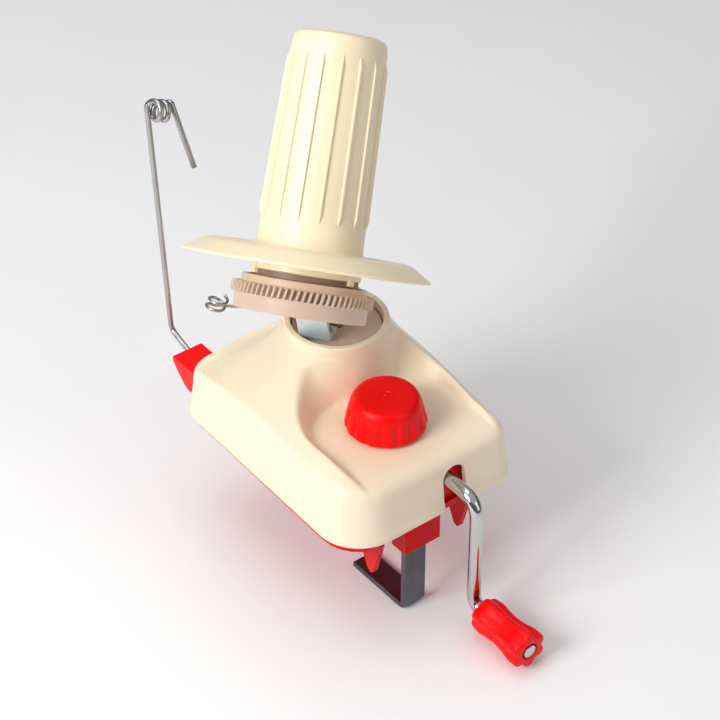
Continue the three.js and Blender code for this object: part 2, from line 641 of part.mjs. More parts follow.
function coneGeometry() {
  const top = CONE_TOP;
  const disc = FLANGE_Z + FLANGE_THICK;
  const shell = turnedRing([[22.5, CONE_FOOT], [22.5, FLANGE_Z], [FLANGE_CREASE_R - 1, FLANGE_Z],
    [FLANGE_R - 1.2, disc - LIP_DROP], [FLANGE_R, disc - LIP_DROP + 1], [FLANGE_CREASE_R, disc],
    [CONE_FOOT_R + 1, disc], [CONE_FOOT_R, disc + 1.2], [CONE_TOP_R, top - 4.5], [CONE_TOP_R - 1, top - 2],
    [CONE_TOP_R - 3, top - 0.8], [9, top], [0.01, top], [0.01, top - CONE_WALL], [9, top - CONE_WALL],
    [CONE_TOP_R - 3.4, top - 2.8], [CONE_TOP_R - 2, top - 5.5], [CONE_FOOT_R - 2, disc],
    [20.5, CONE_FOOT]], 40);
  const taper = (CONE_FOOT_R - CONE_TOP_R) / (top - 4.5 - disc - 1.2);
  const surface = z => CONE_FOOT_R - (z - disc - 1.2) * taper;
  const ribFoot = disc + 11;
  const ribTop = top - 9.5;
  const ribOutline = [[surface(ribFoot) - 0.8, ribFoot], [surface(ribFoot) + 1, ribFoot + 0.6],
    [surface(ribTop) + 1, ribTop - 0.6], [surface(ribTop) - 0.8, ribTop]];
  const ribs = Array.from({ length: CONE_RIBS }, (_, i) => solid(
    uprightPlate(ribOutline, -0.6, 0.6).rotateZ(2 * Math.PI * (i + RIB_PHASE) / CONE_RIBS)));
  return geometryOf(joined([solid(shell), ...ribs]));
}

// Fixed bevel pinion on the post, under the low side of the drum.
const SUN_Z0 = 72;
const SUN_Z1 = 74.6;
const SUN_TIP_R = 8.8;                 // half way up
const SUN_PHASE = Math.PI / SUN_TEETH;

function sunGeometry() {
  const height = SUN_Z1 - SUN_Z0;
  const shape = gearShape(SUN_TEETH, SUN_TIP_R - 1.5, SUN_TIP_R, 0.5, 0.24, SUN_PHASE);
  shape.holes.push(circleShape(POST_R + GAP, 20));
  const gear = extrudedZ(shape, -height / 2, height / 2);
  const place = gear.attributes.position;
  for (let i = 0; i < place.count; i += 1) {
    const radius = Math.hypot(place.getX(i), place.getY(i));
    if (radius < POST_R + 1) continue;
    const scale = 1 - place.getZ(i) * Math.tan(TILT) / SUN_TIP_R;
    place.setXY(i, place.getX(i) * scale, place.getY(i) * scale);
  }
  return gear.translate(0, 0, (SUN_Z0 + SUN_Z1) / 2);
}

// ---------------------------------------------------------------- clamp
function clampBracketGeometry() {
  const t = CLAMP_THICK;
  const strip = new THREE.Shape();
  strip.moveTo(CLAMP_Y, LEG_Z + t);
  strip.lineTo(CLAMP_Y, JAW_TOP - t + CLAMP_BEND);
  strip.absarc(CLAMP_Y + CLAMP_BEND, JAW_TOP - t + CLAMP_BEND, CLAMP_BEND, Math.PI, 1.5 * Math.PI, false);
  strip.lineTo(CLAMP_Y + JAW_LENGTH, JAW_TOP - t);
  strip.lineTo(CLAMP_Y + JAW_LENGTH, JAW_TOP);
  strip.lineTo(CLAMP_Y + CLAMP_BEND, JAW_TOP);
  strip.absarc(CLAMP_Y + CLAMP_BEND, JAW_TOP - t + CLAMP_BEND, CLAMP_BEND - t, 1.5 * Math.PI, Math.PI, true);
  strip.lineTo(CLAMP_Y + t, LEG_Z);
  strip.lineTo(CLAMP_Y + t + 5, LEG_Z);
  strip.lineTo(CLAMP_Y + t + 5, LEG_Z + t);
  const web = solid(sidePlate(strip.extractPoints(4).shape.map(p => [p.x, p.y]), CLAMP_X0, CLAMP_X1));
  const leg = solid(box(CLAMP_X0, KNOB_X + 4.2, CLAMP_Y + t + 3.6, KNOB_Y + 7, LEG_Z, LEG_Z + t));
  const hole = solid(rod(SCREW_R + 0.6, 0, 30, KNOB_X, KNOB_Y, 20));
  return geometryOf(web.add(leg).subtract(hole));
}

function clampNutGeometry() {
  const hexR = 5.4;
  const shape = new THREE.Shape(Array.from({ length: 6 }, (_, i) => {
    const angle = Math.PI * i / 3 + Math.PI / 6;
    return new THREE.Vector2(hexR * Math.cos(angle), hexR * Math.sin(angle));
  }));
  shape.holes.push(circleShape(SCREW_R + 0.3, 20));
  return extrudedZ(shape, LEG_Z - 4 - GAP, LEG_Z - GAP).translate(KNOB_X, KNOB_Y, 0);
}

function knobGeometry() {
  const z0 = DECK_TOP + 1.3;
  const top = z0 + KNOB_HEIGHT;
  const shoulder = z0 + KNOB_HEIGHT * 0.62;
  const shoulderR = KNOB_BASE_R - (KNOB_BASE_R - KNOB_TOP_R) * 0.6;
  const blank = solid(turned([[0, z0], [KNOB_BASE_R, z0], [KNOB_BASE_R, z0 + 1], [shoulderR, shoulder],
    [KNOB_TOP_R + 0.5, top - 3], [KNOB_TOP_R - 0.8, top - 1], [KNOB_TOP_R - 3, top - 0.1], [0, top]], 48));
  const flutes = Array.from({ length: 16 }, (_, i) => {
    const groove = rod(1.5, z0 - 1, shoulder + 2.5, KNOB_BASE_R + 0.3, 0, 10);
    return solid(groove.rotateZ(2 * Math.PI * i / 16));
  });
  const socket = solid(rod(SCREW_R + GAP, z0 - 1, z0 + 9, 0, 0, 20));
  const cut = [...flutes, socket].reduce((rest, groove) => rest.subtract(groove), blank);
  return geometryOf(cut).translate(KNOB_X, KNOB_Y, 0);
}

// ---------------------------------------------------------------- guide arm and tension coil
function armBlockGeometry() {
  const [x0, x1] = [-47, -32];
  const block = sidePlate([[39, 12.2], [44, 12.2], [47, 13.2], [52.8, 18.6], [55.4, 22.5],
    [55.4, 24.2], [39, 24.2]], x0, x1);
  const cover = [...outsideRings([0.5, 0.26, 0.15, EDGE_SHARE], GAP),
    wallRing(outlinePoints(14), COVER_BOTTOM)];
  const tongue = box(TONGUE.x0, TONGUE.x1, TONGUE.y0, 50, TONGUE.z0, TONGUE.z1);
  const bore = solid(rodY(ARM_R + GAP, 51.8, 70, ARM_X, ARM_Z, 16));
  return geometryOf(solid(block).subtract(solid(ringLoft(cover))).add(solid(tongue)).subtract(bore));
}

class HelixCurve extends THREE.Curve {
  constructor(centre, axis, start, turns, advance) {
    super();
    this.centre = centre;
    this.axis = axis.clone().normalize();
    this.radius = start.length();
    this.u = start.clone().normalize();
    this.v = this.axis.clone().cross(this.u);
    this.turns = turns;
    this.advance = advance;
  }

  getPoint(t, target = new THREE.Vector3()) {
    const angle = 2 * Math.PI * this.turns * t;
    return target.copy(this.centre).addScaledVector(this.u, this.radius * Math.cos(angle))
      .addScaledVector(this.v, this.radius * Math.sin(angle)).addScaledVector(this.axis, this.advance * t);
  }
}

function guideArmGeometry() {
  const bend = new THREE.Vector3(ARM_X, ARM_Y, ARM_Z + 4.5);
  const top = new THREE.Vector3(ARM_X - 1.7, ARM_Y + 2, ARM_TOP);
  const inBlock = [new THREE.Vector3(ARM_X, 52.3, ARM_Z), new THREE.Vector3(ARM_X, 57, ARM_Z)];
  const foot = bentPath([...inBlock, bend, top], [3, 4]);
  const eyeCentre = top.clone().add(new THREE.Vector3(0, -EYELET_R, 0));
  const acrossEye = new THREE.Vector3(1, 0, 0);
  const eye = new HelixCurve(eyeCentre, acrossEye, new THREE.Vector3(0, EYELET_R, 0), 2.25, 6.4);
  const tailEnd = new THREE.Vector3(-26, 63, 109.5);
  const path = new THREE.CurvePath();
  for (const curve of [...foot.curves, eye, new THREE.LineCurve3(eye.getPoint(1), tailEnd)]) path.add(curve);
  return wire(path, ARM_R, 118, 6);
}

// Wire on the back of the hump that ends in a few loops, which grip the yarn.
function tensionCoilGeometry() {
  const foot = new THREE.Vector3(COIL_FOOT.x, COIL_FOOT.y, COIL_FOOT.z);
  const knee = foot.clone().setZ(44.5);
  const centre = new THREE.Vector3(-29.6, 47.8, 45.9);
  const loopAxis = new THREE.Vector3(0.4, -0.13, 0.91).normalize();
  const toLoop = new THREE.Vector3(0.6, 0.8, 0).projectOnPlane(loopAxis).setLength(COIL_LOOP_R);
  const loops = new HelixCurve(centre, loopAxis, toLoop, COIL_TURNS, COIL_RISE);
  const path = new THREE.CurvePath();
  for (const curve of [...bentPath([foot, knee, loops.getPoint(0)], [2]).curves, loops]) path.add(curve);
  return wire(path, COIL_WIRE_R, 84, 6);
}

// ---------------------------------------------------------------- assembly
addPart('housing_cover', coverGeometry(), cream());
addPart('base_plate', basePlateGeometry(), darkRed());
SCREW_PLACES.forEach(([x, y], i) => addPart(`cover_screw_${i + 1}`, coverScrewGeometry(x, y), steel()));

addPart('crank_rod', crankGeometry(), chrome());
addPart('crank_face_gear', faceGearGeometry(), gearPlastic());
addPart('gear_pin', rod(0.85, CRANK_Z - 6, CRANK_Z + 6, 0, -13.4, 12), steel());
addPart('crank_retaining_ring', turnedRing([[2.7, -0.4], [5.6, -0.4], [5.6, 0.4], [2.7, 0.4]], 24)
  .rotateX(Math.PI / 2).translate(0, -26.9, CRANK_Z), steel());
addPart('grip', gripGeometry(), red());

addPart('centre_post', rod(POST_R, BASE_THICK + GAP, SUN_Z1 + 2.6, 0, 0, 20), steel());
addPart('fixed_bevel_pinion', sunGeometry(), gearPlastic());
addPart('rotor_turntable', turntableWithRivetHoles(), beige());
addPart('rotor_pinion', rotorPinionGeometry(), gearPlastic());
addPart('spindle_bracket', bracketGeometry(), zinc(), upright);
RIVET_SIDES.forEach((y, i) => addPart(`bracket_rivet_${i + 1}`, rivetGeometry(y), steel(), upright));

addPart('tilt_axle', axleGeometry(), steel(), tilted);
addPart('axle_clip', turnedRing([[2.5, 4.7], [5, 4.7], [5, 5.6], [2.5, 5.6]], 20), steel(), tilted);
addPart('toothed_drum', drumGeometry(), beige(), tilted);
addPart('winding_cone', coneGeometry(), cream(), tilted);

addPart('clamp_knob', knobGeometry(), red());
addPart('thrust_washer', turnedRing([[SCREW_R + 0.3, DECK_TOP + 0.3], [7, DECK_TOP + 0.3], [7, DECK_TOP + 1],
  [SCREW_R + 0.3, DECK_TOP + 1]], 24).translate(KNOB_X, KNOB_Y, 0), steel());
addPart('clamp_screw', rod(SCREW_R, BASE_THICK + 0.4, DECK_TOP + 10, KNOB_X, KNOB_Y, 20), steel());
addPart('clamp_bracket', clampBracketGeometry(), zinc());
addPart('clamp_nut', clampNutGeometry(), steel());

addPart('arm_block', armBlockGeometry(), red());
addPart('guide_arm', guideArmGeometry(), steel());
addPart('tension_coil', tensionCoilGeometry(), steel());

export default winder;
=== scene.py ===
import json
import math

import bpy
from mathutils import Matrix, Vector


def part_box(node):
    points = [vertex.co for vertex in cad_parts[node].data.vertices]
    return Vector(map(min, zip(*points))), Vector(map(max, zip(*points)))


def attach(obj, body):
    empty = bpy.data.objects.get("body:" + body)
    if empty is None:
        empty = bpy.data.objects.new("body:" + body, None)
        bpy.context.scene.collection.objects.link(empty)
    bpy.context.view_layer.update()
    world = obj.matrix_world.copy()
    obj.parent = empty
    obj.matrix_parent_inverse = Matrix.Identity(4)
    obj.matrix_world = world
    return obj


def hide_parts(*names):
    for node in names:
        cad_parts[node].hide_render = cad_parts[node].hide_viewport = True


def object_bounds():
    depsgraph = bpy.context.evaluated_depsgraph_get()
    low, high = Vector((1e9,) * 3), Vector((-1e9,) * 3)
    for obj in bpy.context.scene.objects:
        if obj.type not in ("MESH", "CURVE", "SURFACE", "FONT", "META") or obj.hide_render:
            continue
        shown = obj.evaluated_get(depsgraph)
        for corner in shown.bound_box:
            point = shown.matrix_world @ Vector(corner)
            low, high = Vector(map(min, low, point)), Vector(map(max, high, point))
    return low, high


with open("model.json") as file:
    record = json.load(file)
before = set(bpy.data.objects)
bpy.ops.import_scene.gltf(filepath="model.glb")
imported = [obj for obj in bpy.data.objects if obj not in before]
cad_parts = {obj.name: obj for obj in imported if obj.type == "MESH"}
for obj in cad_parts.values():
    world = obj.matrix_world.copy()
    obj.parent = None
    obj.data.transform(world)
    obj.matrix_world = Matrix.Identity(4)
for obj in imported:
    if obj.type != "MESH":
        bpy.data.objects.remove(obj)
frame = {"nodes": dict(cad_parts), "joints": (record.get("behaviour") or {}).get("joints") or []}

CAD_LO, CAD_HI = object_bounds()
MM = 0.001
JOINTS = {j["name"]: j for j in frame["joints"]}


# ---------------------------------------------------------------- places, in millimetres
def node_box(name):
    lo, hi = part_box(name)
    return lo / MM, hi / MM


COVER_LO, COVER_HI = node_box("housing_cover")
KNOB_LO, KNOB_HI = node_box("clamp_knob")
GRIP_LO, GRIP_HI = node_box("grip")
ROD_LO, ROD_HI = node_box("crank_rod")
ARM_LO, ARM_HI = node_box("guide_arm")
CRANK_Z = JOINTS["crank_turn"]["pos_m"][2] / MM
GRIP_AXIS_Z = JOINTS["grip_spin"]["pos_m"][2] / MM
ARM_AXIS = Vector(JOINTS["arm_swing"]["pos_m"]) / MM
KNOB_MID = (KNOB_LO + KNOB_HI) / 2
SCREW_HOLE_R = 3.6
COIL_FOOT = Vector((-4.0, 30.0, node_box("tension_coil")[0].z))
DRUM_CENTRE = Vector(JOINTS["drum_turn"]["pos_m"]) / MM
DRUM_AXIS = Vector(JOINTS["drum_turn"]["axis"]).normalized()

# The tilted frame: Z along the drum's axis, X downhill.
LEAN = Vector((DRUM_AXIS.x, DRUM_AXIS.y, 0)).normalized()
ACROSS = Vector((-LEAN.y, LEAN.x, 0))
DOWNHILL = ACROSS.cross(DRUM_AXIS)
TILTED = Matrix((
    (DOWNHILL.x, ACROSS.x, DRUM_AXIS.x, DRUM_CENTRE.x),
    (DOWNHILL.y, ACROSS.y, DRUM_AXIS.y, DRUM_CENTRE.y),
    (DOWNHILL.z, ACROSS.z, DRUM_AXIS.z, DRUM_CENTRE.z),
    (0, 0, 0, 1),
))


# ---------------------------------------------------------------- node helpers
class Nodes:
    """Short calls for building one material's node tree."""

    def __init__(self, name):
        self.material = bpy.data.materials.new(name)
        self.material.use_nodes = True
        self.tree = self.material.node_tree
        self.shader = self.tree.nodes["Principled BSDF"]
        self.coords = self.tree.nodes.new("ShaderNodeTexCoord").outputs["Object"]

    def link(self, source, target):
        self.tree.links.new(source, target)

    def mapped(self, scale):
        node = self.tree.nodes.new("ShaderNodeMapping")
        node.inputs["Scale"].default_value = scale
        self.link(self.coords, node.inputs["Vector"])
        return node.outputs["Vector"]

    def noise(self, scale, detail, vector=None, distortion=0.0):
        node = self.tree.nodes.new("ShaderNodeTexNoise")
        node.inputs["Scale"].default_value = scale
        node.inputs["Detail"].default_value = detail
        node.inputs["Distortion"].default_value = distortion
        self.link(vector or self.coords, node.inputs["Vector"])
        return node.outputs["Fac"]

    def ramp(self, fac, stops):
        node = self.tree.nodes.new("ShaderNodeValToRGB")
        elements = node.color_ramp.elements
        while len(elements) < len(stops):
            elements.new(0.5)
        for element, (position, colour) in zip(elements, stops):
            element.position = position
            element.color = (*colour, 1.0)
        self.link(fac, node.inputs["Fac"])
        return node.outputs["Color"]

    def spread(self, fac, low, high, start=0.3, end=0.7):
        node = self.tree.nodes.new("ShaderNodeMapRange")
        for socket, value in (("From Min", start), ("From Max", end), ("To Min", low), ("To Max", high)):
            node.inputs[socket].default_value = value
        self.link(fac, node.inputs["Value"])
        return node.outputs["Result"]

    def bump(self, *layers):
        normal = None
        for height, strength, distance in layers:
            node = self.tree.nodes.new("ShaderNodeBump")
            node.inputs["Strength"].default_value = strength
            node.inputs["Distance"].default_value = distance
            self.link(height, node.inputs["Height"])
            if normal:
                self.link(normal, node.inputs["Normal"])
            normal = node.outputs["Normal"]
        self.link(normal, self.shader.inputs["Normal"])

    def mix(self, fac, a, b):
        node = self.tree.nodes.new("ShaderNodeMix")
        node.data_type = "RGBA"
        for socket, value in ((node.inputs[0], fac), (node.inputs[6], a), (node.inputs[7], b)):
            if isinstance(value, (int, float)):
                socket.default_value = value
            elif isinstance(value, tuple):
                socket.default_value = (*value, 1.0)
            else:
                self.link(value, socket)
        return node.outputs[2]

    def set(self, **values):
        for socket, value in values.items():
            self.shader.inputs[socket.replace("_", " ")].default_value = value


def shade(colour, factor):
    return tuple(min(1.0, c * factor) for c in colour)


def plastic(name, colour, roughness, variation, glow=0.0, coat=0.0, shine=0.45):
    """Moulded plastic: slow tone drift, faint flow marks, orange-peel skin and uneven gloss."""
    n = Nodes(name)
    drift = n.noise(22, 2)
    flow = n.noise(1.0, 4, n.mapped((60, 60, 14)), 0.6)
    tone = n.ramp(drift, [(0.3, shade(colour, 1 - variation)), (0.7, shade(colour, 1 + variation * 0.6))])
    tone = n.mix(n.spread(flow, 0.0, 0.35, 0.45, 0.75), tone, shade(colour, 1 - variation * 1.6))
    n.link(tone, n.shader.inputs["Base Color"])
    n.link(n.spread(n.noise(70, 5), roughness * 0.85, roughness * 1.2), n.shader.inputs["Roughness"])
    n.bump((n.noise(900, 2), 0.03, 0.00012), (n.noise(3200, 2), 0.04, 0.00004))
    n.set(IOR=1.5, Specular_IOR_Level=shine)
    if glow:
        n.set(Subsurface_Weight=glow, Subsurface_Radius=(1.0, 0.7, 0.4), Subsurface_Scale=0.003)
    if coat:
        n.set(Coat_Weight=coat, Coat_Roughness=0.12)
    return n.material


def metal(name, colour, roughness, grain, strength, tint=None, metallic=1.0):
    """Metal with drawn or brushed grain and patchy tone."""
    n = Nodes(name)
    patches = n.noise(45, 4, None, 0.5)
    tone = n.ramp(patches, [(0.35, shade(colour, 0.9)), (0.65, colour)])
    if tint:
        tone = n.mix(n.spread(n.noise(120, 3), 0.0, 0.6), tone, tint)
    n.link(tone, n.shader.inputs["Base Color"])
    drawn = n.noise(1.0, 5, n.mapped(grain))
    n.link(n.spread(drawn, roughness * 0.75, roughness * 1.35), n.shader.inputs["Roughness"])
    n.bump((drawn, strength, 0.00005), (n.noise(300, 3), strength * 0.4, 0.0001))
    n.set(Metallic=metallic)
    return n.material


CREAM = plastic("cream_plastic", (0.93, 0.80, 0.60), 0.38, 0.03, glow=0.1, coat=0.06)
CONE_CREAM = plastic("cone_plastic", (0.93, 0.80, 0.56), 0.38, 0.03, glow=0.1, coat=0.06)
BEIGE = plastic("beige_plastic", (0.66, 0.50, 0.39), 0.42, 0.06, glow=0.05)
# Dark beige as painted shade: the dark tooth roots of the drum and the shadowed gap under the cone's collar.
PAINTED_SHADE_BEIGE = plastic("painted_shade_beige_plastic", (0.26, 0.17, 0.12), 0.5, 0.1)
RED = plastic("red_plastic", (0.92, 0.0, 0.002), 0.34, 0.05, shine=0.22)
# A darker copy of the red plastic: painted shade for the base plate, which sits in the cover's shadow.
PAINTED_SHADE_RED = plastic("painted_shade_red_plastic", (0.66, 0.0, 0.004), 0.4, 0.07, shine=0.2)
GEAR_WHITE = plastic("gear_plastic", (0.80, 0.78, 0.72), 0.4, 0.05)
CHROME = metal("chrome", (0.60, 0.59, 0.57), 0.08, (500, 500, 60), 0.01)
# The zinc's blue-white base colour and its bluish tint patches are painted sky reflection.
ZINC_PAINTED_SKY = metal("zinc_plate_painted_sky_reflection", (0.70, 0.83, 0.92), 0.38, (900, 900, 120), 0.01, (0.62, 0.76, 0.86), 0.45)
DARK_ZINC = metal("clamp_zinc", (0.15, 0.16, 0.18), 0.36, (300, 1600, 60), 0.04, (0.11, 0.12, 0.14))
STEEL = metal("steel_wire", (0.46, 0.45, 0.45), 0.28, (160, 160, 50), 0.004)


# ---------------------------------------------------------------- mesh helpers
def smoothed(mesh, sharp):
    """Smooth shading, with edges over `sharp` degrees kept crisp."""
    mesh.polygons.foreach_set("use_smooth", [True] * len(mesh.polygons))
    mesh.set_sharp_from_angle(angle=math.radians(sharp))


def piece(name, verts, faces, body, slot, material, replaces, matrix=None, sharp=40):
    """A shown piece from points in millimetres, riding on a body and standing for the nodes it replaces."""
    mesh = bpy.data.meshes.new(name)
    points = [Vector(p) for p in verts]
    if matrix:
        points = [matrix @ p for p in points]
    mesh.from_pydata([tuple(p * MM) for p in points], [], faces)
    mesh.validate()
    mesh.update()
    mesh.materials.append(material)
    obj = bpy.data.objects.new(name, mesh)
    bpy.context.scene.collection.objects.link(obj)
    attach(obj, body)
    if replaces:
        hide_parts(*replaces)
    smoothed(mesh, sharp)
    return obj


def cut(obj, verts, faces, sharp=40):
    """Takes a closed shape, in millimetres, out of the piece's mesh."""
    mesh = bpy.data.meshes.new("cutter")
    mesh.from_pydata([tuple(Vector(p) * MM) for p in verts], [], faces)
    cutter = bpy.data.objects.new("cutter", mesh)
    bpy.context.scene.collection.objects.link(cutter)
    modifier = obj.modifiers.new("cut", "BOOLEAN")
    modifier.operation = "DIFFERENCE"
    modifier.solver = "EXACT"
    modifier.object = cutter
    bpy.context.view_layer.update()
    evaluated = obj.evaluated_get(bpy.context.evaluated_depsgraph_get())
    mesh = bpy.data.meshes.new_from_object(evaluated)
    obj.modifiers.clear()
    obj.data = mesh
    smoothed(mesh, sharp)
    bpy.data.objects.remove(cutter)


def bevel(obj, width, weld=False):
    if weld:
        joint = obj.modifiers.new("weld", "WELD")
        joint.merge_threshold = 0.00001
    modifier = obj.modifiers.new("bevel", "BEVEL")
    modifier.width = width * MM
    modifier.segments = 3
    modifier.limit_method = "ANGLE"
    modifier.angle_limit = math.radians(35)


def loft(rings, close_ends=False, loop=False):
    """Points and faces between rings of equal count; each ring is a closed loop."""
    count = len(rings[0])
    verts = [tuple(p) for ring in rings for p in ring]
    faces = []
    for j in range(len(rings) if loop else len(rings) - 1):
        n = (j + 1) % len(rings)
        for i in range(count):
            k = (i + 1) % count
            faces.append((j * count + i, j * count + k, n * count + k, n * count + i))
    if close_ends:
        faces.append(tuple(range(count - 1, -1, -1)))
        faces.append(tuple((len(rings) - 1) * count + i for i in range(count)))
    return verts, faces


def merged(*shapes):
    """One list of points and faces for all the shapes."""
    verts, faces = [], []
    for shape_verts, shape_faces in shapes:
        start = len(verts)
        verts += list(shape_verts)
        faces += [tuple(start + i for i in face) for face in shape_faces]
    return verts, faces


def level_ring(points, z):
    return [(p[0], p[1], z) for p in points]


def circle(radius, z, sides):
    angles = [2 * math.pi * i / sides for i in range(sides)]
    return [(radius * math.cos(a), radius * math.sin(a), z) for a in angles]


def cuboid(lo, hi):
    ring = [(lo[0], lo[1]), (hi[0], lo[1]), (hi[0], hi[1]), (lo[0], hi[1])]
    return loft([level_ring(ring, lo[2]), level_ring(ring, hi[2])], close_ends=True)


def rod(radius, z0, z1, x, y, sides):
    """Upright closed cylinder."""
    ring = [(x + p[0], y + p[1]) for p in circle(radius, 0, sides)]
    return loft([level_ring(ring, z0), level_ring(ring, z1)], close_ends=True)


def subdivided(profile, spacing):
    """The profile without its last point, with points added so that no step reaches twice `spacing`."""
    points = []
    for (r0, h0), (r1, h1) in zip(profile, profile[1:]):
        parts = max(1, int(math.hypot(r1 - r0, h1 - h0) / spacing))
        points += [(r0 + (r1 - r0) * k / parts, h0 + (h1 - h0) * k / parts) for k in range(parts)]
    return points


def turned(profile, segments):
    """Ring-shaped body of revolution about Z from a closed [radius, height] profile."""
    angles = [2 * math.pi * i / segments for i in range(segments)]
    rings = [[(r * math.cos(a), r * math.sin(a), z) for r, z in profile] for a in angles]
    verts, faces = loft(rings, loop=True)
    return verts, [tuple(reversed(face)) for face in faces]


def rounded(corners, radius, steps=3):
    """An open line of corners, each inner one made a small curve. A corner may carry its own radius."""
    points = [tuple(corners[0][:2])]
    for last, corner, following in zip(corners, corners[1:], corners[2:]):
        here = Vector(corner[:2])
        before, after = Vector(last[:2]) - here, Vector(following[:2]) - here
        own = corner[2] if len(corner) > 2 else radius
        reach = min(own, before.length * 0.45, after.length * 0.45)
        a = here + before.normalized() * reach
        b = here + after.normalized() * reach
        for t in (k / steps for k in range(steps + 1)):
            points.append(tuple(a * (1 - t) ** 2 + here * 2 * t * (1 - t) + b * t ** 2))
    return points + [tuple(corners[-1][:2])]


def bent(corners, radii):
    """Centreline through corners with round bends of the given radii."""
    steps = 14
    corners = [Vector(c) for c in corners]
    points = [corners[0]]
    for i in range(1, len(corners) - 1):
        before = (corners[i - 1] - corners[i]).normalized()
        after = (corners[i + 1] - corners[i]).normalized()
        half = before.angle(after) / 2
        reach = radii[i - 1] / math.tan(half)
        centre = corners[i] + (before + after).normalized() * radii[i - 1] / math.sin(half)
        u = (corners[i] + before * reach - centre).normalized()
        v = -before
        sweep = math.pi - 2 * half
        for k in range(steps + 1):
            a = sweep * k / steps
            points.append(centre + (u * math.cos(a) + v * math.sin(a)) * radii[i - 1])
    points.append(corners[-1])
    return points


def helix(centre, axis, start, turns, advance, steps):
    """Coil about an axis; `start` runs from the centre to the coil's first point."""
    axis = Vector(axis).normalized()
    start = Vector(start)
    u, radius = start.normalized(), start.length
    v = axis.cross(u)
    points = []
    for k in range(steps + 1):
        t = k / steps
        a = 2 * math.pi * turns * t
        points.append(Vector(centre) + (u * math.cos(a) + v * math.sin(a)) * radius + axis * advance * t)
    return points


def swept(points, radius, sides, round_ends=0.3):
    """Round bar along a centreline, with slightly rounded ends."""
    points = [Vector(p) for p in points]
    clean = [points[0]]
    for p in points[1:]:
        if (p - clean[-1]).length > 1e-3:
            clean.append(p)
    points = clean
    tangents = []
    for i in range(len(points)):
        a = points[max(i - 1, 0)]
        b = points[min(i + 1, len(points) - 1)]
        tangents.append((b - a).normalized())
    side = tangents[0].orthogonal().normalized()
    rings = []
    for p, t in zip(points, tangents):
        side = (side - t * side.dot(t)).normalized()
        other = t.cross(side)
        rings.append([(p + (side * math.cos(a) + other * math.sin(a)) * radius)
                      for a in (2 * math.pi * k / sides for k in range(sides))])

    def end_ring(index, inward, scale):
        centre = points[index] + tangents[index] * inward
        return [centre + (q - points[index]) * scale for q in rings[index]]

    first = [end_ring(0, 0.0, 1 - round_ends), end_ring(0, round_ends * radius * 0.6, 1.0)]
    last = [end_ring(-1, -round_ends * radius * 0.6, 1.0), end_ring(-1, 0.0, 1 - round_ends)]
    return loft(first + rings[1:-1] + last, close_ends=True)


# ---------------------------------------------------------------- housing cover
NECK_OUTER, NECK_INNER, NECK_TOP, NECK_BASE = 22.3, 19.6, 57.0, 52.5
COVER_WALL, WALL_LEAN, COVER_BOTTOM = 2.4, 2.2, COVER_LO.z
EDGE_ROUND, EDGE_SHARE = 4.6, 0.075
DECK_X, DECK_Y, DECK_Z, DECK_HALF, DECK_CORNER_R, DECK_RISE = -5.75, -38, 30.2, 16.25, 17, 1.7
SLOT_X, SLOT_HALF = 2.5, 5.9
TONGUE_SLOT = ((-44.3, 39.7, 12.5), (-35.7, 60, 17.1))
# x, y and radius of each corner, the steps round it and the steps along the side after it
OUTLINE = [
    (COVER_LO.x, COVER_LO.y, 20, 24, 20),
    (COVER_HI.x, COVER_LO.y, 11, 16, 52),
    (COVER_HI.x, 42.0, 20, 18, 32),
    (-50.5, 47.3, 12, 16, 38),
]


def outline(inset):
    """The housing's rounded four-sided outline, anticlockwise, moved in by `inset`."""
    arcs = []
    for i, (x, y, radius, steps, _) in enumerate(OUTLINE):
        here = Vector((x, y))
        before = (Vector(OUTLINE[i - 1][:2]) - here).normalized()
        after = (Vector(OUTLINE[(i + 1) % 4][:2]) - here).normalized()
        half = before.angle(after) / 2
        centre = here + (before + after).normalized() * radius / math.sin(half)
        reach = radius / math.tan(half)
        u = (here + before * reach - centre).normalized()
        v = -before
        sweep = math.pi - 2 * half
        angles = [sweep * k / steps for k in range(steps + 1)]
        arcs.append([centre + (u * math.cos(a) + v * math.sin(a)) * (radius - inset) for a in angles])
    points = []
    for i, arc in enumerate(arcs):
        points += arc
        start = arcs[(i + 1) % 4][0]
        side = OUTLINE[i][4]
        points += [arc[-1].lerp(start, k / side) for k in range(1, side)]
    return points


def clamp01(value):
    return min(1.0, max(0.0, value))


def smooth_min(a, b, k):
    """The smaller of the two, blended where they are less than k apart."""
    h = max(k - abs(a - b), 0) / k
    return min(a, b) - h * h * k / 4


def soft(value, width):
    """0 below zero and the value above it, with a rounded start."""
    return (value + math.hypot(value, width)) / 2


def outside_deck(x, y):
    """Distance outside the deck's rounded outline, with a soft start."""
    dx, dy = abs(x - DECK_X) - DECK_HALF, y - DECK_Y
    away = math.hypot(max(dx, 0), max(dy, 0)) - DECK_CORNER_R
    return soft(away, 0.6)


def edge_height(p):
    """Height of the cover's upper edge: higher near the neck and at the front left, lower at the back."""
    left_corner = 1.8 * math.exp(-((p[0] + 50) ** 2 + (p[1] + 64) ** 2) / 260)
    return 28.5 + 6.5 * clamp01((70 - math.hypot(*p)) / 34) - 3 * clamp01(p[1] / 42) ** 1.5 + left_corner


def cover_height(x, y, share, edge_top, wall):
    """Height of the slope up to the neck, cut by the flat deck in front of it, `wall` below the outside."""
    away = math.hypot(x, y)
    slope = edge_top + (NECK_BASE - edge_top) * share ** (1.1 + 1.5 * max(0, y) / away)
    neck_foot = 7 * soft(25 - wall - away, 1.6)
    deck = DECK_Z + DECK_RISE * max(0, outside_deck(x, y) - wall) + neck_foot
    return smooth_min(slope, deck, 3.2) - wall


def slope_ring(edge, share, drop=0.0, wall=0.0):
    """Ring on the cover's top, from its outline (share 0) to the neck's foot (share 1)."""
    ring = []
    for p in edge:
        edge_r = math.hypot(*p)
        radius = edge_r + (NECK_OUTER - wall - edge_r) * share
        x, y = p[0] / edge_r * radius, p[1] / edge_r * radius
        ring.append((x, y, cover_height(x, y, share, edge_height(p), wall) - drop))
    return ring


